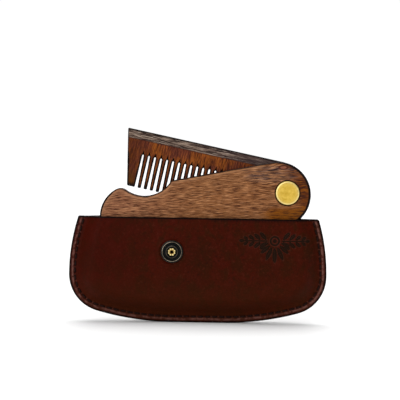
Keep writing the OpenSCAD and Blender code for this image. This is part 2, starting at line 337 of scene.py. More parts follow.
def triangulate(loops, inner, creases=()):
    """Fills outlines with triangles. Gives points, triangles and each loop's point numbers."""
    points = np.concatenate([*loops, *creases, inner])
    starts = np.cumsum([0] + [len(path) for path in [*loops, *creases]])
    edges = []
    for start, path in zip(starts, loops):
        edges += [(start + i, start + (i + 1) % len(path)) for i in range(len(path))]
    for start, path in zip(starts[len(loops):], creases):
        edges += [(start + i, start + i + 1) for i in range(len(path) - 1)]
    flat = [Vector((p.real, p.imag)) for p in points]
    found = delaunay_2d_cdt(flat, edges, [], 0, 1e-5, True)
    out = np.array([complex(p.x, p.y) for p in found[0]])
    number = {old: new for new, olds in enumerate(found[3]) for old in olds}
    faces = np.array(found[2])
    middles = out[faces].mean(axis=1)
    keep = inside(middles, loops[0])
    for loop in loops[1:]:
        keep &= ~inside(middles, loop)
    rims = [[number[start + i] for i in range(len(loop))] for start, loop in zip(starts, loops)]
    return out, faces[keep], rims


def plate(name, loops, inner, shape, place, creases=(), **settings):
    """Closed solid over a flat outline. shape(points) gives two heights and both skins' marks."""
    points, faces, rims = triangulate(loops, inner, creases)
    near, far, marks = shape(points)
    n = len(points)
    verts = np.concatenate([place(points, near), place(points, far)])
    skins = faces.tolist() + (faces[:, ::-1] + n).tolist()
    walls = [(rim[i - 1], rim[i - 1] + n, rim[i] + n, rim[i]) for rim in rims for i in range(len(rim))]
    both = {mark: np.concatenate(np.broadcast_arrays(*values)) for mark, values in marks.items()}
    return build(name, verts, skins + walls, marks=both, **settings)


def facing(side, near, far, marks):
    """A back plate's heights and marks as they are, or mirrored for the front."""
    if side == "front":
        return -far, -near, {mark: values[::-1] for mark, values in marks.items()}
    return near, far, marks


def tube(rows, around, ring=False):
    """Faces between rows of points that close into a ring or end in two caps."""
    faces = []
    for k in range(rows if ring else rows - 1):
        low, high = k * around, (k + 1) % rows * around
        faces += [(low + i, low + (i + 1) % around, high + (i + 1) % around, high + i)
                  for i in range(around)]
    if not ring:
        faces += [tuple(range(around)), tuple(range((rows - 1) * around, rows * around))]
    return faces


def lathe(name, profile, centre, y, side=-1, around=96, ring=False, ripple=None, worn=None, **settings):
    """Turned piece about Y, from (radius, height) pairs that rise from depth y to a side."""
    angles = np.arange(around) * TAU / around
    verts = []
    for radius, height in profile:
        radii, heights = ripple(radius, height, angles) if ripple else (radius, height)
        verts.append(upright(centre + radii * np.exp(1j * angles), y + side * heights))
    # The mark lightens rings of a turned piece: painted highlight, and bare metal on the plated parts.
    marks = {"worn": np.repeat([float(worn(*pair)) for pair in profile], around)} if worn else None
    return build(name, np.concatenate(verts), tube(len(profile), around, ring), marks=marks, **settings)


def soften(profile, radius=0.12, steps=3):
    """Rounds the corners of an open list of (radius, height) pairs."""
    out = [profile[0]]
    for a, b, c in zip(profile, profile[1:], profile[2:]):
        a, b, c = complex(*a), complex(*b), complex(*c)
        reach = min(radius, abs(a - b) * 0.45, abs(c - b) * 0.45)
        first = b + (a - b) / abs(a - b) * reach
        last = b + (c - b) / abs(c - b) * reach
        for t in np.linspace(0, 1, steps + 1):
            p = first * (1 - t) ** 2 + b * 2 * t * (1 - t) + last * t * t
            out.append((p.real, p.imag))
    return out + [profile[-1]]


# ---- Materials ----

def srgb(colour):
    """Colour from 0 to 255 as a linear one."""
    share = np.array(colour) / 255
    linear = np.where(share <= 0.04045, share / 12.92, ((share + 0.055) / 1.055) ** 2.4)
    return (*linear.tolist(), 1)


class Paint:
    """A Principled material, with short calls that add nodes. Its colours run from 0 to 255."""

    def __init__(self, name, **settings):
        self.material = bpy.data.materials.new(name)
        self.material.use_nodes = True
        self.tree = self.material.node_tree
        self.shader = self.tree.nodes["Principled BSDF"]
        for socket, value in settings.items():
            self.shader.inputs[socket.replace("_", " ")].default_value = value
        place = self.add("TexCoord").outputs["Object"]
        self.here = self.add("Mapping", {"Vector": place, "Scale": (1 / MM,) * 3}).outputs[0]
        self.slot = name

    def add(self, kind, inputs=None, **settings):
        node = self.tree.nodes.new("ShaderNode" + kind)
        for key, value in settings.items():
            setattr(node, key, value)
        for key, value in (inputs or {}).items():
            if isinstance(value, bpy.types.NodeSocket):
                self.tree.links.new(value, node.inputs[key])
            else:
                node.inputs[key].default_value = value
        return node

    def turned(self, clockwise):
        """Millimetres round the pivot, with X along a line that is turned by degrees."""
        at = self.add("VectorMath", {0: self.here, 1: (PIVOT.real, 0, PIVOT.imag)}, operation="SUBTRACT")
        turn = (0, math.radians(-clockwise), 0)
        return self.add("Mapping", {"Vector": at.outputs[0], "Rotation": turn}).outputs[0]

    def split(self, at):
        return self.add("SeparateXYZ", {0: at}).outputs

    def noise(self, size, detail=3, roughness=0.55, warp=0.0, at=None):
        """Noise with features of about size millimetres, or of three sizes when stretched."""
        scale = tuple(1 / s for s in (size if isinstance(size, tuple) else (size,) * 3))
        scaled = self.add("Mapping", {"Vector": at or self.here, "Scale": scale}).outputs[0]
        return self.add("TexNoise", {"Vector": scaled, "Scale": 1.0, "Detail": detail,
                                     "Roughness": roughness, "Distortion": warp}).outputs[0]

    def cells(self, size):
        scaled = self.add("Mapping", {"Vector": self.here, "Scale": (1 / size,) * 3}).outputs[0]
        return self.add("TexVoronoi", {"Vector": scaled, "Scale": 1.0}, feature="F1").outputs[0]

    def mark(self, name):
        return self.add("Attribute", attribute_name=name).outputs["Fac"]

    def fade(self, value, low, high, start=0.0, end=1.0):
        """Maps low to start and high to end, smoothly."""
        return self.add("MapRange", {"Value": value, "From Min": low, "From Max": high, "To Min": start,
                                     "To Max": end}, interpolation_type="SMOOTHSTEP").outputs[0]

    def math(self, operation, a, b=0.0):
        return self.add("Math", {0: a, 1: b}, operation=operation).outputs[0]

    def times(self, first, *others):
        for other in others:
            first = self.math("MULTIPLY", first, other)
        return first

    def plus(self, a, b):
        return self.math("ADD", a, b)

    def oval(self, x, z, middle, size):
        """Squared distance from an oval's middle, 1 on the oval, and its upright part."""
        off_x = self.math("DIVIDE", self.math("SUBTRACT", x, middle[0]), size[0])
        off_z = self.math("DIVIDE", self.math("SUBTRACT", z, middle[1]), size[1])
        return self.plus(self.times(off_x, off_x), self.times(off_z, off_z)), off_z

    def mix(self, factor, a, b):
        a, b = (srgb(colour) if isinstance(colour, tuple) else colour for colour in (a, b))
        return self.add("Mix", {0: factor, 6: a, 7: b}, data_type="RGBA").outputs[2]

    def lay(self, factor, colour):
        """Lays a colour over what is there so far."""
        self.colour = self.mix(factor, self.colour, colour)

    def tint(self, value, low, high, most, colour):
        """Lays a colour on, from none at low to the most at high."""
        self.lay(self.fade(value, low, high, 0.0, most), colour)

    def ramp(self, value, *stops):
        """Starts a new colour along a value. A stop is a position and a colour."""
        node = self.add("ValToRGB", {0: value})
        elements = node.color_ramp.elements
        while len(elements) < len(stops):
            elements.new(0.5)
        for element, (position, *colour) in zip(elements, stops):
            element.position = position
            element.color = srgb(colour)
        self.colour = node.outputs[0]
        return self.colour

    def bump(self, height, depth, below=None):
        """Bump of a depth in millimetres, over another one."""
        inputs = {"Height": height, "Strength": 1.0, "Distance": depth * MM}
        if below:
            inputs["Normal"] = below
        return self.add("Bump", inputs).outputs[0]

    def finish(self, roughness, normal=None):
        for socket, value in (("Base Color", self.colour), ("Roughness", roughness), ("Normal", normal)):
            if value:
                self.tree.links.new(value, self.shader.inputs[socket])
        return self


def leather_paint():
    """Red-brown tanned leather, black at its cut edges, with suede on its flesh side, painted highlights
    along the sewn edge and on the stamp, and painted shade at the stitches.
    """
    p = Paint("leather", Specular_IOR_Level=0.03)
    x, _, z = p.split(p.here)
    mottle = p.noise((6, 6, 8), 5, roughness=0.65, warp=0.5)
    flecks = p.noise(1.1, 2)
    suede = p.ramp(p.noise(0.5, 5), (0.3, 70, 42, 28), (0.7, 104, 68, 46))
    p.ramp(p.noise(24), (0.3, 50, 12, 2), (0.5, 55, 11, 1), (0.7, 60, 11, 2))
    p.tint(mottle, 0.44, 0.62, 0.75, (43, 16, 2))
    p.tint(mottle, 0.46, 0.32, 0.5, (64, 17, 8))
    p.tint(flecks, 0.56, 0.74, 0.4, (78, 30, 19))
    p.tint(flecks, 0.45, 0.28, 0.5, (33, 9, 4))
    p.tint(x, -15, -50, 0.5, (52, 6, 1))
    p.tint(z, 30, 3, 0.6, (54, 22, 5))
    # Painted highlight: a broken lighter line along the sewn edge and dots between the stitches.
    highlight_breakup = p.fade(p.noise(1.5, 4), 0.4, 0.58, 0.15, 1.0)
    p.lay(p.times(p.mark("rim"), highlight_breakup), (112, 74, 66))
    stamp = p.mark("stamp")
    # Painted highlight: lighter glints on the sloped walls of the stamped ornament.
    stamp_glint = p.times(p.fade(stamp, 0.02, 0.12), p.fade(stamp, 0.45, 0.2, 0.0, 0.4))
    p.tint(stamp, 0.1, 0.5, 0.9, (26, 16, 8))
    p.lay(stamp_glint, (88, 44, 32))
    p.lay(p.mark("flesh"), suede)
    # Black edge paint on the cut edges, and painted shade in the stitch holes and the stitch groove.
    p.lay(p.mark("burn"), (9, 3, 3))
    creases = p.noise((1.6, 1.6, 0.9), 5, warp=1.2)
    roughness = p.math("MAXIMUM", p.fade(mottle, 0.3, 0.7, 0.42, 0.56), p.times(p.mark("flesh"), 0.9))
    return p.finish(roughness, p.bump(p.cells(0.55), 0.03, p.bump(creases, 0.10)))


def wood_grain(p, at, along, across):
    """Broad streaks and fine lines of wood, stretched along X of at."""
    streaks = p.noise((along, across * 3, across), 5, roughness=0.6, warp=0.4, at=at)
    fibres = p.noise((along * 0.34, across, across * 0.31), roughness=0.6, at=at)
    return streaks, fibres


def handle_paint():
    """Oiled walnut, with a small knot and a redder heart round the pivot."""
    p = Paint("handle_wood", Specular_IOR_Level=0.05)
    at = p.turned(-3)
    x, y, z = p.split(at)
    knot_h = 2.6
    knot, knot_z = p.oval(x, z, (-1.6, 12.3), (6.0, knot_h))
    near_knot = p.math("POWER", 2.718, p.times(knot, -1.0))
    pull = p.times(near_knot, knot_z, -knot_h * 0.85)
    wave = p.times(p.math("SUBTRACT", p.noise((26, 12, 13), 2, at=at), 0.5), 3.0)
    ripple = p.times(p.math("SUBTRACT", p.noise((8, 6, 4), 2, at=at), 0.5), 0.4)
    flow_z = p.plus(p.plus(z, pull), p.plus(wave, ripple))
    flow = p.add("CombineXYZ", {0: x, 1: y, 2: flow_z}).outputs[0]
    streaks, fibres = wood_grain(p, flow, 13, 0.8)
    p.ramp(p.noise((9, 6, 3), at=flow), (0.36, 60, 27, 14), (0.5, 90, 40, 10), (0.64, 124, 66, 8))
    p.tint(z, -5, -9, 0.6, (140, 80, 2))
    p.lay(p.times(p.fade(z, -8.5, -11), p.fade(x, 2, 6, 0.0, 0.7)), (50, 25, 8))
    warm = p.colour
    p.ramp(streaks, (0.3, 112, 70, 40), (0.45, 130, 84, 50), (0.56, 137, 89, 54), (0.72, 150, 102, 65))
    p.tint(p.noise((60, 9, 5.5), 2, at=flow), 0.38, 0.62, 0.45, (130, 80, 44))
    p.tint(x, -40, -84, 0.4, (142, 94, 76))
    heart = p.math("MAXIMUM", p.fade(p.plus(x, p.times(z, 0.25)), -2, 7),
                   p.times(p.fade(z, -5.2, -8.5), p.fade(x, -16, -6)))
    p.lay(p.times(heart, 0.94), warm)
    grey = p.fade(p.oval(x, z, (-6.0, 9.2), (14.0, 4.0))[0], 1.6, 0.2)
    p.lay(p.times(grey, p.fade(streaks, 0.46, 0.56, 0.2, 0.9)), (98, 74, 66))
    dark = p.mix(grey, p.mix(heart, (66, 36, 23), (48, 23, 16)), (36, 26, 27))
    p.tint(fibres, 0.49, 0.58, 0.95, dark)
    p.tint(fibres, 0.45, 0.36, 0.75, p.mix(heart, (188, 136, 94), (136, 76, 12)))
    span = p.math("SQRT", knot)
    ring = p.times(p.fade(span, 0.2, 0.3), p.fade(span, 0.48, 0.34, 0.0, 0.85))
    p.tint(span, 0.32, 0.2, 0.7, (130, 78, 58))
    p.lay(ring, (66, 26, 20))
    # Painted highlight: a lighter band along the upper rounded edge, where light catches it.
    p.lay(p.mark("wear"), (186, 140, 104))
    # Dark edges, and painted shade in the ring round the pivot's head.
    p.lay(p.mark("burn"), (14, 8, 8))
    return p.finish(p.fade(streaks, 0.3, 0.7, 0.5, 0.64), p.bump(fibres, 0.07, p.bump(streaks, 0.05)))


def blade_paint():
    """Dark wood with its grain along the teeth, and a greyed strip along the spine."""
    p = Paint("blade_wood", Specular_IOR_Level=0.05)
    at = p.turned(BLADE_OPEN - COMB_TILT)
    x, _, z = p.split(at)
    teeth_way = p.add("Mapping", {"Vector": at, "Rotation": (0, math.radians(90), 0)}).outputs[0]
    streaks, fibres = wood_grain(p, teeth_way, 11, 0.9)
    spine_streaks, spine_fibres = wood_grain(p, at, 15, 0.8)
    patches = p.noise((10, 8, 7), at=at)
    p.ramp(spine_streaks, (0.4, 20, 13, 12), (0.47, 74, 57, 49), (0.55, 108, 88, 76), (0.66, 156, 136, 120))
    p.tint(x, -58, -28, 0.55, (72, 53, 49))
    p.tint(spine_fibres, 0.5, 0.58, 0.92, (24, 16, 16))
    p.tint(spine_fibres, 0.45, 0.34, 0.6, (180, 162, 146))
    p.tint(x, -40, -14, 0.5, (66, 50, 50))
    strip = p.colour
    p.ramp(streaks, (0.32, 62, 27, 12), (0.46, 98, 47, 20), (0.58, 118, 60, 22), (0.75, 142, 78, 30))
    p.tint(patches, 0.46, 0.6, 0.75, (84, 39, 30))
    p.tint(patches, 0.46, 0.34, 0.5, (132, 70, 16))
    p.tint(fibres, 0.5, 0.6, 0.72, (36, 15, 10))
    p.tint(fibres, 0.45, 0.34, 0.5, (158, 86, 32))
    p.tint(x, -66, -79, 0.5, (66, 27, 8))
    p.lay(p.times(p.fade(x, -71, -75), p.fade(z, -3, -11, 0.0, 0.6)), (80, 48, 0))
    crease_z = SPINE_V - BEVEL_W
    p.tint(z, crease_z - 0.05, crease_z + 0.15, 1.0, strip)
    # Painted shade: a dark line along the line where the bevel meets the face.
    crease_shade = p.times(p.fade(z, crease_z - 0.45, crease_z - 0.05), p.fade(z, crease_z + 0.3, crease_z))
    p.lay(p.times(crease_shade, 0.65), (52, 24, 16))
    # Dark edges, and painted shade in the saw run-outs over the slots.
    p.lay(p.mark("burn"), (10, 6, 5))
    return p.finish(p.fade(streaks, 0.3, 0.7, 0.48, 0.62), p.bump(fibres, 0.05, p.bump(spine_fibres, 0.05)))


def brass_paint(name, light, dark, edge, roughness):
    """Slightly stained brass with fine scratches, and a painted highlight along its edges."""
    p = Paint(name, Metallic=0.85)
    stains = p.noise(2.2, 4, warp=0.8)
    scratches = p.noise((2.5, 2.5, 0.12))
    p.ramp(stains, (0.34, *dark), (0.64, *light))
    # Painted highlight: the edge colour where the mark is set, along chamfers and crests.
    p.lay(p.mark("worn"), edge)
    return p.finish(p.fade(stains, 0.3, 0.7, roughness, roughness + 0.14), p.bump(scratches, 0.008))


def plated_paint():
    """Black plating, grey on the high rings: partly bare metal and partly painted highlight."""
    p = Paint("snap_black", Metallic=0.7, Specular_IOR_Level=0.25)
    smudge = p.noise(1.3, 4)
    p.ramp(smudge, (0.35, 5, 7, 7), (0.65, 15, 18, 18))
    # Grey on the high rings, partly bare metal and partly painted highlight, broken up by noise.
    p.lay(p.times(p.mark("worn"), p.fade(p.noise(2.5), 0.32, 0.6, 0.45, 1.0)), (170, 155, 134))
    return p.finish(p.fade(smudge, 0.3, 0.7, 0.24, 0.38), p.bump(p.noise(0.3, 2), 0.006))


def steel_paint():
    """Bright drawn wire."""
    p = Paint("spring_steel", Metallic=1.0)
    drawn = p.noise(0.4)
    p.ramp(drawn, (0.3, 150, 150, 152), (0.7, 200, 200, 202))
    return p.finish(p.fade(drawn, 0.3, 0.7, 0.25, 0.4))


def thread_paint():
    """Waxed, twisted thread."""
    p = Paint("thread", Specular_IOR_Level=0.08)
    fuzz = p.noise(0.35, 4)
    p.ramp(fuzz, (0.3, 12, 5, 4), (0.7, 38, 17, 12))
    return p.finish(p.fade(fuzz, 0.3, 0.7, 0.55, 0.75), p.bump(fuzz, 0.03))


LEATHER = leather_paint()
HANDLE_WOOD = handle_paint()
BLADE_WOOD = blade_paint()
PIVOT_BRASS = brass_paint("pivot_brass", (222, 188, 82), (202, 163, 55), (244, 226, 160), 0.36)
SNAP_BRASS = brass_paint("snap_brass", (204, 172, 92), (104, 76, 28), (232, 212, 150), 0.26)
PLATED = plated_paint()
STEEL = steel_paint()
THREAD = thread_paint()

# ---- Pouch ----

FOOT_HALF, BOTTOM_R, CORNER_R, SIDE_R, SIDE_Z = 12, 135, 18.5, 93, 23
bottom_c = complex(FOOT_HALF, BOTTOM_R)
side_c = complex(HALF_W - SIDE_R, SIDE_Z)
corner_c = circle_meet(side_c, SIDE_R - CORNER_R, bottom_c, BOTTOM_R - CORNER_R)
ORNAMENT = 36.5 + 37.5j
RING_AT = 2.6j


def seam_path(gap, step=0.8):
    """The seam's path, inset by a gap, from the mouth's left end round to its right."""
    corner_start = degrees(bottom_c, corner_c)
    corner_end = degrees(side_c, corner_c)
    top = math.degrees(math.asin((CASE_H - SIDE_Z) / (SIDE_R - gap)))
    half = chain(arc(bottom_c, BOTTOM_R - gap, -90, corner_start, step),
                 arc(corner_c, CORNER_R - gap, corner_start, corner_end, step),
                 arc(side_c, SIDE_R - gap, corner_end, top, step))
    mirrored = -half[::-1].conjugate()
    return chain(mirrored, line(mirrored[-1], half[0], step), half)


def stitch_stations(path):
    """Distances along the seam at which thread goes through the leather."""
    middle = path_length(path) / 2
    count = math.floor((middle - 1) / STITCH_PITCH)
    return middle + np.arange(-count, count + 1) * STITCH_PITCH


def leaf(points, base, tip, width):
    """1 inside a leaf with a raised rib along its middle, and 0 outside it."""
    local = (points - base) / (tip - base)
    half = width / 2 * np.sin(np.pi * np.clip(local.real, 0, 1)) ** 0.8
    across = np.abs(local.imag) * abs(tip - base)
    body = ease(half - across, -0.05, 0.25)
    rib = 0.75 * bell(across, 0.22) * ease(local.real, 0.1, 0.25)
    return np.clip(body - rib * (body > 0.5), 0, 1)


def sprig(points):
    """Stamped ornament: two leafy sprigs, a ring between them and leaves below it."""
    at = points - ORNAMENT
    at = np.abs(at.real) + 1j * at.imag
    ring_gap = np.abs(at - RING_AT)
    pressed = bell(ring_gap - 2.0, 0.42) + ease(ring_gap, 1.0, 0.7)
    stem = bell(at.imag - RING_AT.imag, 0.32) * ease(at.real, 3.2, 3.5) * ease(at.real, 14.6, 14.0)
    leaves = [leaf(at, RING_AT + 14.2, RING_AT + 17.4, 1.6)]
    for k in range(4):
        start = RING_AT + 3.9 + 2.9 * k
        for side in (1, -1):
            reach = (5.6 - 0.75 * k) * cmath.exp(1j * side * math.radians(52 - 4 * k))
            leaves.append(leaf(at, start + 0.45j * side, start + reach, 2.1 - 0.15 * k))
    for k, size in enumerate((8.2, 7.6, 6.4, 5.0)):
        way = cmath.exp(-1j * math.radians(90 - 24 * k))
        leaves.append(leaf(at, RING_AT + 2.9 * way, RING_AT + (2.9 + size) * way, 2.3 - 0.1 * k))
    return np.clip(np.max([pressed, stem, *leaves], axis=0), 0, 1)


def panel_outline(seam):
    """The seam's path, closed along the mouth with small round corners."""
    left, right = seam[0], seam[-1]
    round_left, round_right = 0.5, 1.1
    body = seam[(np.abs(seam - left) > 2 * round_left) & (np.abs(seam - right) > 2 * round_right)]
    return rounded([(p, 0) for p in body] + [(right, round_right), (left, round_left)], 0.3)


def panel_points(front, outline, seam):
    """Points inside a panel, close together along its edges, round the stud and in the ornament."""
    gaps = [0.03, 0.12, 0.28, 0.5, 0.8, 1.3, 1.8, 2.2, 2.5, 2.75, 3.05, 3.3, 3.6, 4.2]
    gaps += [5, 6, 7, 8, 9, 10.2, 11.4]
    inner = [seam_path(gap, 0.45 if 2 < gap < 4 else 0.8) for gap in gaps]
    inner.append(seam_path(STITCH_IN, 0.3))
    span = line(complex(-HALF_W, 0), complex(HALF_W, 0), 0.8)
    inner += [span + 1j * (CASE_H - gap) for gap in (0.05, 0.18, 0.4, 0.8)]
    inner.append(grid(complex(-HALF_W, 0), complex(HALF_W, CASE_H), 1.5))
    inner = np.concatenate(inner)
    if front:
        radii = (2.5, 3.5, 4.5, 5.2, 5.6, 5.9, 6.15, 6.4, 6.7, 7.1, 7.7, 8.4)
        ring_zone, sewn_zone = 9, 4.6
        inner = inner[np.abs(inner - SNAP) > ring_zone]
        low, high = ORNAMENT - 18.5 - 9.5j, ORNAMENT + 18.5 + 8.5j
        x, z = inner.real, inner.imag
        stamped = (x > low.real) & (x < high.real) & (z > low.imag) & (z < high.imag)
        inner = inner[~stamped | (nearest(inner, seam)[0] <= sewn_zone)]
        fine = grid(low, high, 0.3)
        fine = fine[nearest(fine, seam)[0] > sewn_zone]
        inner = np.concatenate([inner, fine, *(circle(SNAP, radius, 0.5) for radius in radii)])
    return inner[inside(inner, outline) & (nearest(inner, seam)[0] > 0.02) & (inner.imag < CASE_H - 0.03)]


def panel(side):
    """The front or back panel of the pouch: a flat sewn margin, then a smooth rise."""
    front = side == "front"
    seam = seam_path(0)
    stitch_line = seam_path(STITCH_IN, 0.5)
    stations = stitch_stations(stitch_line)
    outline = panel_outline(seam)
    loops = [outline, hole(SNAP, RIVET_R, 0.3)] if front else [outline]
    inner = panel_points(front, outline, seam)

    def shape(points):
        gap = nearest(points, seam)[0]
        off_line, along = nearest(points, stitch_line)
        mouth_gap = CASE_H - points.imag
        slope = np.radians(90) * np.clip((gap - MARGIN_W) / SLOPE_W, 0, 1)
        rise = INNER_HALF * np.sin(slope) ** RISE_POWER
        edge = np.minimum(nearest(points, closed(outline))[0], 5)
        x, z = points.real, points.imag
        soft = 0.10 * np.sin(x / 7.5 + z / 13 + (0 if front else 2)) + 0.08 * np.sin(x / 17 - z / 8 + 1)
        wave = soft * ease(gap, 5, 14)
        hole_gap = np.abs(along[:, None] - stations[None, :]).min(axis=1)
        groove = 0.34 * bell(off_line, 0.55)
        groove += 0.4 * bell(off_line, 0.32) * bell(hole_gap - STITCH_GAP / 2, 0.3)
        crown = 0.13 * bell(gap - 1.5, 0.75) + 0.07 * bell(gap - 4.4, 0.7)
        outer = rise + LEATHER_T + wave - drop_over(edge, 0.55) + crown - groove
        inner_y = rise + np.minimum(wave, 0) + drop_over(gap, 0.22) + drop_over(mouth_gap, 0.35)
        pressed = np.zeros(len(points))
        if front:
            reach = np.abs(points - SNAP)
            outer += 0.16 * bell(reach - 6.45, 0.32) - 0.22 * ease(reach, 6.2, 5.7)
            pressed = sprig(points)
            outer -= 0.38 * pressed
        # Width of the black edge paint, a little narrower at the mouth.
        dark_edge_width = 0.95 + 0.12 * np.sin(along / 2.3) * np.sin(along / 5.1 + 1)
        dark_edge_width -= 0.25 * ease(mouth_gap, 1, 0)
        burn = ease(dark_edge_width - edge, 0, 0.35)
        # Painted shade in the stitch holes and along the stitch groove.
        burn = np.maximum(burn, 0.85 * bell(off_line, 0.35) * bell(hole_gap - STITCH_GAP / 2, 0.2))
        burn = np.maximum(burn, 0.25 * bell(off_line, 0.6) * ease(hole_gap, 0.3, 0.6))
        # Painted highlight: a thin lighter line outside the stitching and dots between the stitches, none at
        # the mouth and fainter towards the bottom.
        rim = bell(gap - 1.7 - 0.12 * np.sin(along / 3.7), 0.42)
        rim = np.maximum(rim, 0.6 * bell(off_line, 0.45) * bell(hole_gap, 0.28))
        rim *= ease(mouth_gap, 0.3, 1) * (0.75 + 0.25 * ease(z, 4, 16))
        edge_burn = ease(edge, 0.3, 0.05)
        marks = {"burn": (edge_burn, burn), "flesh": (1 - edge_burn, 0)}
        marks.update(stamp=(0, pressed), rim=(0, rim))
        return facing(side, inner_y, outer, marks)

    plate(side + "_panel", loops, inner, shape, upright, paint=LEATHER, body="pouch", nodes=["case_" + side])


STITCH_AROUND, STITCH_ROWS = 12, 13


def stitch(a, b, y, side):
    """Points of a twisted stitch from a to b, on a face at depth y that looks to a side."""
    share = np.linspace(0, 1, STITCH_ROWS)
    height = 0.17 - 0.62 * np.abs(2 * share - 1) ** 5
    thick = 0.36 * (1 - 0.35 * np.abs(2 * share - 1) ** 6)
    angle = np.arange(STITCH_AROUND) * TAU / STITCH_AROUND
    across = 1j * (b - a) / abs(b - a)
    rows = []
    for t, h, r in zip(share, height, thick):
        ply = 1 + 0.10 * np.cos(3 * (angle + t * 5.5))
        flat = a + (b - a) * t + across * r * 1.08 * np.cos(angle) * ply
        rows.append(upright(flat, y + side * (h + r * 0.9 * np.sin(angle) * ply)))
    return np.concatenate(rows)


def stitches(name, starts, ends, sheets, nodes):
    """Stitches from starts to ends on each sheet, which is a depth and a side."""
    bars = [stitch(a, b, y, side) for y, side in sheets for a, b in zip(starts, ends)]
    one = tube(STITCH_ROWS, STITCH_AROUND)
    firsts = range(0, len(bars) * len(bars[0]), len(bars[0]))
    faces = [tuple(v + first for v in face) for first in firsts for face in one]
    build(name, np.concatenate(bars), faces, THREAD, "pouch", nodes, sharp=80)


def seam_stitches():
    """The stitches round the sides and the bottom, on both faces."""
    path = seam_path(STITCH_IN, 0.3)
    stations = stitch_stations(path)
    starts = walk(path, stations[:-1] + STITCH_GAP / 2)
    ends = walk(path, stations[1:] - STITCH_GAP / 2)
    face = LEATHER_T - 0.2
    stitches("seam_stitches", starts, ends, [(-face, -1), (face, 1)], ["seam_thread"])


panel("front")
panel("back")
seam_stitches()

# ---- Strap ----

FOLD_Y = PANEL_Y + STRAP_T / 2 + FOLD_R
CAP_FACE = FOLD_Y + FOLD_R - STRAP_T / 2
BASE_LEN = FOLD_Z - BASE_Z
FOLD_LEN = math.pi * FOLD_R
STRAP_LEN = BASE_LEN + FOLD_LEN + FOLD_Z - TAB_LOW[2]


def along_strap(points, offset):
    """Places the strap's flat pattern: up the pouch's back and down over a fold."""
    s = points.imag
    angle = np.clip((s - BASE_LEN) / FOLD_R, 0, math.pi)
    radius = FOLD_R - offset
    below = np.minimum(s - BASE_LEN, 0) + np.minimum(BASE_LEN + FOLD_LEN - s, 0)
    y = FOLD_Y - radius * np.cos(angle)
    z = FOLD_Z + radius * np.sin(angle) + below
    return np.column_stack([SNAP.real + points.real, y, z])


def strap():
    """The strap: one piece of leather that bends between the pouch and its free end."""
    foot, tip = 3, STRAP_HALF - 0.5
    outline = rounded([(complex(-STRAP_HALF, 0), foot), (complex(STRAP_HALF, 0), foot),
                       (complex(STRAP_HALF, STRAP_LEN), tip), (complex(-STRAP_HALF, STRAP_LEN), tip)], 0.6)
    rivet = complex(0, BASE_LEN + FOLD_LEN + FOLD_Z - SOCKET.imag)
    loops = [outline, hole(rivet, RIVET_R, 0.3)]
    inner = fill(loops, [0.04, 0.15, 0.35, 0.6, 1.0], 1.0)
    fold_rows = [line(complex(-STRAP_HALF + 0.7, s), complex(STRAP_HALF - 0.7, s), 1.0)
                 for s in np.arange(BASE_LEN - 1, BASE_LEN + FOLD_LEN + 1, 0.3)]

    def shape(points):
        edge = nearest(points, closed(outline))[0]
        half = STRAP_T / 2 - drop_over(edge, 0.4)
        groove = 0.16 * bell(edge - 1.4, 0.22)
        sewn = bell(edge - STRAP_STITCH_IN, 0.4) * ease(points.imag, BASE_LEN - 2.5, BASE_LEN - 4)
        # Black edge paint, and painted shade along the sewn rows on the outer face.
        burn = ease(edge, 0.55, 0.25)
        flesh = (1 - burn) * ease(points.imag, BASE_LEN, BASE_LEN - 1)
        marks = {"burn": (burn, np.maximum(burn, 0.4 * sewn)), "flesh": (flesh, 0)}
        return groove - half, half - 0.25 * sewn, marks

    piece = plate("strap_leather", loops, np.concatenate([inner, *fold_rows]), shape, along_strap,
                  paint=LEATHER, body=None, nodes=["strap_base", "strap_tab"])
    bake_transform(piece)


def strap_stitches():
    """Rows up both sides of the strap's sewn foot and one across it, on both faces."""
    side_in = STRAP_HALF - STRAP_STITCH_IN
    low = BASE_Z + STRAP_STITCH_IN
    rows = math.floor((BASE_LEN - 2 * STRAP_STITCH_IN) / STITCH_PITCH)
    columns = math.floor(2 * side_in / STITCH_PITCH)
    centres = [(complex(side * side_in, low + (i + 0.7) * STITCH_PITCH), 1j)
               for side in (1, -1) for i in range(rows)]
    centres += [(complex((i - (columns - 1) / 2) * STITCH_PITCH, low), 1) for i in range(columns)]
    half = (STITCH_PITCH - STITCH_GAP) / 2
    starts = [SNAP.real + centre - way * half for centre, way in centres]
    ends = [SNAP.real + centre + way * half for centre, way in centres]
    sheets = [(PANEL_Y + STRAP_T - 0.15, 1), (INNER_HALF + 0.05, -1)]
    stitches("strap_stitches", starts, ends, sheets, ["strap_thread"])


strap()
strap_stitches()

# ---- Snap ----

def snap_stud():
    """Stud half: flange, raised ring, dish and bead, with grey rings that are partly bare metal and partly
    painted highlight.
    """
    r, bead = STUD_R, BEAD_R
    profile = soften([(RIVET_R, 0), (r - 0.35, 0), (r, 0.3), (r - 0.1, 0.65), (r - 0.5, 0.8), (4.8, 0.8),
                      (4.72, 1.1), (4.5, 1.12), (4.3, 0.62), (3.1, 0.5), (2.65, 0.65), (2.6, 1.4),
                      (bead, 1.8), (bead, 2.7), (bead - 0.3, 3.0), (2.5, 3.0), (2.2, 2.2), (RIVET_R, 2.2)])

    # Grey on the raised ring, the bead's top and the flange: partly bare metal, partly painted highlight.
    def worn(radius, height):
        ring = bell(radius - 4.62, 0.14) * (height > 0.9)
        bead_top = 0.2 * bell(radius - bead + 0.2, 0.2) * (height > 2.6)
        flange = 0.06 * bell(radius - r + 0.1, 0.15) * (height > 0.4)
        return max(ring, bead_top, flange)

    lathe("stud", profile, SNAP, -PANEL_Y, ring=True, worn=worn, paint=PLATED, body="pouch",
          nodes=["snap_stud"])


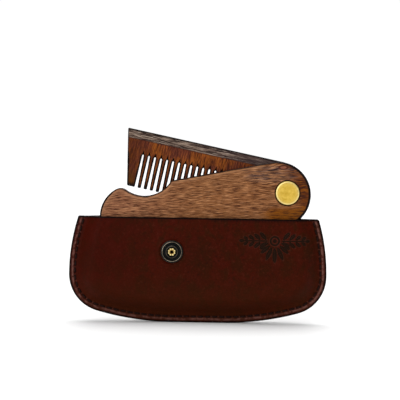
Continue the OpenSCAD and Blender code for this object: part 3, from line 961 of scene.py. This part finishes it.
def stud_rosette():
    """The brass post: a flange inside the pouch, and an end that is rolled into petals."""
    flange, bore = -LEATHER_T, 0.6
    tube_r = RIVET_R - 0.08
    profile = soften([(bore, flange - 0.4), (4.3, flange - 0.4), (4.6, flange - 0.2), (4.5, flange),
                      (tube_r, flange), (tube_r, 2.0)], 0.1)
    profile += [(1.9, 2.25), (1.95, 2.5), (1.8, 2.75), (1.5, 2.85), (1.2, 2.75), (0.9, 2.5), (0.66, 2.1)]
    profile.append((bore, 1.5))

    def petals(radius, height, angles):
        """Cuts eight notches into the rolled end."""
        share = max(0.0, (radius - bore) / 1.3) * (height >= 2.1)
        cut = share * (1 - np.abs(np.sin(4 * angles)) ** 0.5)
        return radius * (1 - 0.17 * cut), height - 0.45 * cut

    # Painted highlight on the crest of the rolled petals.
    lathe("stud_rosette", profile, SNAP, -PANEL_Y, ring=True, ripple=petals,
          worn=lambda radius, height: 0.8 * bell(height - 2.85, 0.2), paint=SNAP_BRASS,
          body="pouch", nodes=["stud_post"])


def socket():
    """Socket half on the strap, with its throat open for the bead."""
    r, h = SOCKET_R, SOCKET_BACK - SOCKET_FRONT
    throat = BEAD_R + 0.3
    profile = soften([(RIVET_R, 0), (r - 0.6, 0), (r, 0.5), (r, 1.4), (r - 0.7, 2.2), (r - 1, h),
                      (throat + 0.3, h), (throat, h - 0.3), (throat, 2.4), (4.0, 2.2), (4.0, 1.2),
                      (3.2, 1), (3.2, 0.4), (RIVET_R, 0.4)], 0.16)
    # Grey band near the open face: partly bare metal, partly painted highlight.
    lathe("socket", profile, SOCKET, SOCKET_FRONT, side=1, ring=True,
          worn=lambda radius, height: 0.6 * bell(radius - r + 1.2, 0.35) * (height > h - 0.4),
          paint=PLATED, body="strap", nodes=["snap_socket"])


def spring():
    """Split wire ring that grips the bead."""
    _, outer_r, front, back = round_box("snap_spring")
    wire = (back - front) / 2
    half_gap = 12
    around = 12
    path = arc(SOCKET, outer_r - wire, half_gap - 90, 270 - half_gap, 0.25)
    turn = np.arange(around) * TAU / around
    verts = []
    for p in path:
        out = (p - SOCKET) / abs(p - SOCKET)
        verts.append(upright(p + out * wire * np.cos(turn), (front + back) / 2 + wire * np.sin(turn)))
    build("spring_ring", np.concatenate(verts), tube(len(path), around), STEEL, "strap", ["snap_spring"])


def cap():
    """Domed cap on the strap's outer face, with a line round its crown and a rivet tube."""
    _, r, front, _ = round_box("snap_cap")
    crown = CAP_FACE - front
    tube_r = RIVET_R - 0.05
    profile = soften([(AXIS_R, -STRAP_T - 0.9), (2.1, -STRAP_T - 0.9), (2.25, -STRAP_T - 0.55),
                      (tube_r, -STRAP_T - 0.4), (tube_r, 0), (r - 0.5, 0), (r - 0.1, 0.35), (r, 0.8),
                      (r - 0.15, 1.15)])
    profile += [(r - 0.5, 1.42), (r - 1.0, 1.56), (r - 1.15, 1.5), (r - 1.3, 1.6), (r * 0.6, 1.76),
                (r * 0.35, 1.86), (r * 0.15, crown - 0.01), (AXIS_R, crown)]
    # Grey line at the cap's edge: partly bare metal, partly painted highlight.
    lathe("snap_dome", profile, SOCKET, CAP_FACE, paint=PLATED, body="strap", nodes=["snap_cap"],
          worn=lambda radius, height: 0.35 * bell(radius - r, 0.2))


snap_stud()
stud_rosette()
socket()
spring()
cap()

# ---- Handle ----

END_R, END_C = 15.8, -4.7 + 0j
TIP_R, TIP_C = 15, -75.6 + 2.4j
BELLY_R = TIP_C.imag + END_R
BELLY_C = TIP_C - TIP_R + BELLY_R
SCOOP_R, SCOOP_C = 15, complex(-65, END_R + 9.9)
BUMP_R, SHOULDER_R = 4.5, 2
BUMP_C = circle_meet(SCOOP_C, SCOOP_R + BUMP_R, TIP_C, TIP_R - BUMP_R)
scoop_rise = SCOOP_C.imag - END_R + SHOULDER_R
scoop_reach = math.sqrt((SCOOP_R + SHOULDER_R) ** 2 - scoop_rise**2)
SHOULDER_C = complex(SCOOP_C.real + scoop_reach, END_R - SHOULDER_R)
SEAT_R, SEAT_DEPTH = HEAD_R + 0.3, 0.9
SEAT_Y = HANDLE_Y - SEAT_DEPTH
HEAD_T = -HEAD_FRONT - SEAT_Y
BRASS = {"paint": PIVOT_BRASS, "body": "handle"}
HANDLE_PLACE = turned_sketch(-COMB_TILT)


def handle_outline(gap=0.0, step=0.5):
    """The handle's outline, inset by a gap, counter-clockwise from under its scoop."""
    path = chain(np.array([complex(SCOOP_C.real, gap - END_R)]),
                 arc(END_C, END_R - gap, -90, 90, step),
                 arc(SHOULDER_C, SHOULDER_R - gap, 90, degrees(SHOULDER_C, SCOOP_C), step / 2),
                 arc(SCOOP_C, SCOOP_R + gap, degrees(SCOOP_C, SHOULDER_C), degrees(SCOOP_C, BUMP_C), step),
                 arc(BUMP_C, BUMP_R - gap, degrees(BUMP_C, SCOOP_C), degrees(TIP_C, BUMP_C), step),
                 arc(TIP_C, TIP_R - gap, degrees(TIP_C, BUMP_C), 180, step),
                 arc(BELLY_C, BELLY_R - gap, 180, 270, step))
    corners = closed(path)
    return np.concatenate([line(a, b, 0.8)[:-1] for a, b in zip(corners, corners[1:])])


def scale(side):
    """The front or back scale, with a seat for the pivot's head, dark edges, painted shade round the seat
    and a painted highlight along the upper edge.
    """
    outline = handle_outline()
    creases = [closed(circle(0j, radius, 0.35)) for radius in (SEAT_R, SEAT_R - 0.06)]
    inner = fill([outline], [0.05, 0.18, 0.38, 0.65, 1.0, 1.4], 1.3)
    reach = np.abs(inner)
    inner = inner[(reach > BORE_R + 0.4) & (np.abs(reach - SEAT_R) > 0.5)]
    radii = [BORE_R + 0.2] + [SEAT_R + gap for gap in (-0.35, 0.05, 0.2, 0.5)]
    inner = np.concatenate([inner, *(circle(0j, radius, 0.5) for radius in radii)])

    def shape(points):
        edge = nearest(points, closed(outline))[0]
        reach = np.abs(points)
        x, z = points.real, points.imag
        dressed = 0.05 * np.sin(x / 6 + 1) * np.sin(z / 5)
        outer = HANDLE_Y - drop_over(edge, 1.0) - np.abs(dressed) * ease(edge, 1, 3)
        outer -= drop_over(np.abs(reach - SEAT_R + 0.001) + (reach < SEAT_R) * 9, 0.18)
        outer = np.where(reach < SEAT_R - 0.03, SEAT_Y, outer)
        under = SCALE_Y + drop_over(edge, 0.25)
        # Width of the dark edge, wider at the round end and at the tip.
        dark_edge_width = 0.62 + 0.7 * ease(x, -8, 5) + 0.4 * ease(x, -78, -86)
        dark_edge_width += 0.08 * np.sin(x / 1.7) * np.sin(z / 2.3)
        burn = ease(dark_edge_width - edge, 0, 0.35)
        # Painted shade: a dark ring round the seat of the pivot's head.
        burn = np.maximum(burn, ease(SEAT_R + 0.3 - reach, 0, 0.25))
        # Painted highlight: a lighter band just inside the upper edge, on the top side only.
        wear = 0.35 * bell(edge - 1.1, 0.3) * (z > 5) * (x < -8)
        marks = {"burn": (0.5, burn), "wear": (0, wear)}
        return facing(side, under, outer, marks)

    plate(side + "_scale", [outline, hole(0j, BORE_R)], inner, shape, HANDLE_PLACE, creases, sharp=50,
          paint=HANDLE_WOOD, body="handle", nodes=["scale_" + side])


def line_meet(a, b, c, d):
    """Meeting point of the line through a and b with the line through c and d."""
    way = d - c
    return a + (b - a) * ((c - a).conjugate() * way).imag / ((b - a).conjugate() * way).imag


def spacer():
    """Strip of wood between the scales, which closes the handle's belly and tip."""
    end_u, end_gap, floor_gap, scale_gap = 1.5, 0.8, 0.4, 0.2
    floor_left = complex(-TIP_U - end_gap, -TIPS_V - floor_gap)
    floor_right = complex(-end_u, floor_left.imag)
    top = complex(-SPINE_U - end_gap - 0.6, END_R + 2)
    whole = handle_outline(scale_gap)
    side = ((whole - floor_left) * (top - floor_left).conjugate()).imag > 0
    keep = (whole.real < -end_u) & (side | (whole.imag < floor_left.imag)) & (whole.imag < top.imag)
    first = int(np.argmax(keep & ~np.roll(keep, 1)))
    ring = np.roll(whole, -first)
    outer = ring[:int(keep.sum())]
    start = line_meet(ring[-1], ring[0], floor_left, top)
    foot = complex(-end_u, scale_gap - END_R)
    outline = chain(np.array([start]), outer, line(outer[-1], foot)[1:], line(foot, floor_right)[1:],
                    line(floor_right, floor_left)[1:], line(floor_left, start)[1:-1])

    def shape(points):
        edge = nearest(points, closed(outline))[0]
        half = SCALE_Y - drop_over(edge, 0.15)
        return -half, half, {"burn": (0.3 * ease(edge, 0.3, 0),) * 2}

    plate("belly_strip", [outline], fill([outline], [0.05, 0.2, 0.5], 1.2), shape, HANDLE_PLACE, sharp=50,
          paint=HANDLE_WOOD, body="handle", nodes=["handle_spacer"])


def stop_pin():
    """Plain pin through the scales, which ends the blade's swing."""
    centre, r, front, back = round_box("stop_pin")
    h = back - front
    profile = soften([(AXIS_R, 0), (r - 0.2, 0), (r, 0.2), (r, h - 0.2), (r - 0.2, h), (AXIS_R, h)], 0.08)
    lathe("stop_peg", profile, centre, front, side=1, around=48, nodes=["stop_pin"], **BRASS)


def pivot_front():
    """Barrel half of the pivot, with its plain chamfered head."""
    r, h, end = HEAD_R, HEAD_T, -2 * SEAT_Y
    profile = soften([(AXIS_R, -2.0), (1.75, -2.0), (1.75, end), (2.3, end), (2.5, end + 0.2), (2.5, 0),
                      (r - 0.1, 0), (r, 0.1), (r, h - 0.42)], 0.05)
    profile += [(r - 0.08, h - 0.25), (r - 0.3, h - 0.1), (r - 0.55, h - 0.02), (r - 0.8, h)]
    profile += [(r * 0.6, h), (r * 0.3, h), (AXIS_R, h)]
    # Painted highlight along the head's chamfer.
    lathe("pivot_head", profile, PIVOT, -SEAT_Y, around=128,
          worn=lambda radius, height: 0.9 * bell(radius - r + 0.45, 0.25) * (height > 0),
          nodes=["pivot_barrel"], **BRASS)


def pivot_back():
    """Screw half of the pivot: a slotted head on a short shank."""
    slot_half, slot_depth = 0.6, 0.6
    outline = circle(0j, HEAD_R, 0.3)
    creases = []
    for height in (-slot_half, 0.05 - slot_half, slot_half, slot_half - 0.05):
        half = math.sqrt((HEAD_R * 0.999) ** 2 - height**2)
        creases.append(line(complex(-half, height), complex(half, height), 0.4))
    inner = fill([outline], [0.1, 0.25, 0.45, 0.7], 0.6)
    inner = inner[np.abs(np.abs(inner.imag) - slot_half) > 0.2]

    def shape(points):
        edge = nearest(points, closed(outline))[0]
        top = SEAT_Y + HEAD_T - drop_over(edge, 0.45)
        top = np.where(np.abs(points.imag) < slot_half - 0.02, SEAT_Y + HEAD_T - slot_depth, top)
        # Painted highlight along the head's rounded edge.
        return SEAT_Y, top, {"worn": (0, 0.9 * bell(edge - 0.45, 0.25))}

    plate("screw_head", [outline], inner, shape, HANDLE_PLACE, creases, sharp=35, nodes=["pivot_screw"],
          **BRASS)
    crest, root, pitch, length = 1.7, 1.52, 0.22, 5.6
    threads = [(crest, 0.3), (root, 0.3 + pitch / 2)]
    shank = [(AXIS_R, 0), (crest, 0)] + [(r, h + k * pitch) for k in range(22) for r, h in threads]
    lathe("screw_shank", shank + [(1.4, length), (AXIS_R, length)], PIVOT, SEAT_Y, around=48, **BRASS)


def washers():
    """Thin washers on each side of the blade."""
    for side in ("front", "back"):
        _, r, front, back = round_box("washer_" + side)
        t = back - front
        profile = [(BORE_R, 0), (r - 0.05, 0), (r, 0.06), (r, t - 0.06), (r - 0.05, t), (BORE_R, t)]
        lathe(side + "_washer", soften(profile, 0.04), PIVOT, front, side=1, ring=True,
              nodes=["washer_" + side], **BRASS)


scale("front")
scale("back")
spacer()
stop_pin()
pivot_front()
pivot_back()
washers()

# ---- Blade ----

def slot_u(i):
    return FIRST_SLOT_U - i * TOOTH_PITCH


def nearest_slot(u):
    """Distance along the blade to the middle of the nearest slot."""
    index = np.clip(np.round((FIRST_SLOT_U + u) / TOOTH_PITCH), 0, SLOTS - 1)
    return np.abs(u + slot_u(index))


def blade_outline():
    """The comb's outline round its slots, level, with the pivot at its origin."""
    tang, heel_u, heel_rise, tip_round = 4.3, 12.5, 2.0, 0.42
    tip, root = SLOT_TIP_W / 2, SLOT_ROOT_W / 2
    corners = [(complex(-tang, SPINE_V), 0.3), (complex(-SPINE_U, SPINE_V), 0.5)]
    corners.append((complex(-TIP_U, -TIPS_V), 0.6))
    slot = [(complex(-tip, -TIPS_V), tip_round), (complex(-root, ROOT_V), root * 0.98),
            (complex(root, ROOT_V), root * 0.98), (complex(tip, -TIPS_V), tip_round)]
    corners += [(corner - slot_u(i), radius) for i in range(SLOTS) for corner, radius in slot]
    corners += [(complex(-heel_u, -TIPS_V), 0.5), (complex(-heel_u, -TIPS_V + heel_rise), 0.3)]
    join = math.degrees(math.acos(-tang / TANG_R))
    corners += [(p, 0) for p in arc(0j, TANG_R, -135, join, 0.8)]
    return rounded(corners, 0.45)


def run_out(centre, size):
    """Pointed arch above a slot, where the saw runs out of the face."""
    turn = np.linspace(-1, 1, 9)
    return centre + size * (RUN_OUT_HALF * turn + 1j * RUN_OUT_H * (1 - np.abs(turn) ** 1.5))


def blade():
    """The toothed blade, with a bevelled spine and saw marks over its slots, which are darkened with painted
    shade.
    """
    outline = blade_outline()
    loops = [outline, hole(0j, BORE_R)]
    crease_v = SPINE_V - BEVEL_W
    creases = [line(complex(1 - SPINE_U, crease_v), complex(-8, crease_v), 0.6)]
    creases += [run_out(complex(-slot_u(i), ROOT_V + 0.02), size)
                for i in range(SLOTS) for size in (1, 0.88, 0.5)]
    inner = fill(loops, [0.08, 0.2, 0.36, 0.6, 0.9], 0.9)
    near_arch = (nearest_slot(inner.real) < 0.9) & (np.abs(inner.imag - ROOT_V - 1) < 1.2)
    inner = inner[(np.abs(inner.imag - crease_v) > 0.3) & ~near_arch]

    def shape(points):
        edge = nearest(points, closed(outline))[0]
        u, v = points.real, points.imag
        bevel = BEVEL_DEPTH * np.clip((v - crease_v) / BEVEL_W, 0, 2)
        off = nearest_slot(u) / RUN_OUT_HALF
        rise = (v - ROOT_V) / RUN_OUT_H
        run = np.clip((1 - off ** 1.5 - rise) * (rise > -0.01) * (off < 1), 0, 1)
        half = BLADE_Y - bevel - drop_over(edge, 0.4) - 0.9 * ease(run, 0.0, 0.12) * (0.35 + 0.65 * run)
        teeth = ease(v, ROOT_V + 1, ROOT_V - 1)
        outer_side = ease(u, -FIRST_SLOT_U - 2, 2 - SPINE_U) * ease(v, 8, -TIPS_V)
        # Width of the dark edge, wider along the teeth and at the outer end.
        dark_edge_width = 0.45 + 0.36 * teeth + 0.7 * outer_side + 0.07 * np.sin(u * 1.3 + v / 2)
        burn = ease(dark_edge_width - edge, 0, 0.3)
        # Painted shade fills the saw run-outs; the teeth's tips and the spine's top edge are dark too.
        burn = np.maximum(burn, ease(run, 0.0, 0.1))
        burn = np.maximum(burn, 0.95 * ease(v, 2.6 - TIPS_V, 0.7 - TIPS_V))
        burn = np.maximum(burn, 0.9 * ease(v, SPINE_V - 0.8, SPINE_V - 0.5))
        burn *= np.abs(points) > TANG_R
        return -half, half, {"burn": (burn, burn)}

    plate("blade", loops, inner, shape, turned_sketch(BLADE_OPEN - COMB_TILT), creases, sharp=60,
          paint=BLADE_WOOD, body="blade", nodes=["comb_blade"])


blade()

# ---- Stage ----

def studio_floor():
    """Plain pale floor."""
    p = Paint("pale_floor", Specular_IOR_Level=0.05, Roughness=0.9, Base_Color=(0.8, 0.8, 0.8, 1),
              Emission_Color=(1, 1, 1, 1), Emission_Strength=0.02)
    mesh = bpy.data.meshes.new("floor")
    far = 12.0
    mesh.from_pydata([(-far, -far, 0), (far, -far, 0), (far, far, 0), (-far, far, 0)], [], [(0, 1, 2, 3)])
    mesh.materials.append(p.material)
    floor = add_object("floor", mesh)


def sun(name, azimuth, elevation, strength, spread):
    """Soft light from an azimuth, 0 for the front and positive to the right."""
    data = bpy.data.lights.new(name, "SUN")
    data.energy = strength
    data.angle = math.radians(spread)
    lamp = add_object(name, data)
    a, e = math.radians(azimuth), math.radians(elevation)
    source = Vector((math.sin(a) * math.cos(e), -math.cos(a) * math.cos(e), math.sin(e)))
    lamp.rotation_mode = "QUATERNION"
    lamp.rotation_quaternion = source.to_track_quat("Z", "Y")


def surroundings():
    """White seen by the camera, and a dimmer light on the object."""
    world = bpy.data.worlds.new("studio")
    bpy.context.scene.world = world
    world.use_nodes = True
    tree = world.node_tree
    dim = tree.nodes["Background"]
    white = tree.nodes.new("ShaderNodeBackground")
    for light, strength in ((dim, 0.22), (white, 1.02)):
        light.inputs["Color"].default_value = (1, 1, 1, 1)
        light.inputs["Strength"].default_value = strength
    pick = tree.nodes.new("ShaderNodeMixShader")
    seen = tree.nodes.new("ShaderNodeLightPath")
    tree.links.new(seen.outputs["Is Camera Ray"], pick.inputs[0])
    tree.links.new(dim.outputs[0], pick.inputs[1])
    tree.links.new(white.outputs[0], pick.inputs[2])
    tree.links.new(pick.outputs[0], tree.nodes["World Output"].inputs["Surface"])


def camera():
    """Camera in front and a little above, rolled so that the pouch leans clockwise."""
    lens, view_width, tilt, roll = 130, 0.1924, 1.8, 0.945
    target = Vector((0.0005, 0, 0.0589))
    data = bpy.data.cameras.new("camera")
    data.lens = lens
    data.clip_start, data.clip_end = 0.01, 60
    elevation = math.radians(tilt)
    back = Vector((0, -math.cos(elevation), math.sin(elevation)))
    holder = add_object("camera", data)
    holder.location = target + back * lens * view_width / data.sensor_width
    aim = (-back).to_track_quat("-Z", "Y")
    holder.rotation_mode = "QUATERNION"
    holder.rotation_quaternion = aim @ Matrix.Rotation(math.radians(roll), 3, "Z").to_quaternion()
    bpy.context.scene.camera = holder


studio_floor()
surroundings()
sun("key", -32, 24, 1.5, 50)
sun("fill", 42, 22, 0.42, 70)
sun("back", 180, 24, 0.95, 35)
sun("high", 180, 72, 2.1, 50)
sun("top", 0, 88, 0.8, 70)
camera()
bpy.context.scene.view_settings.view_transform = "Standard"
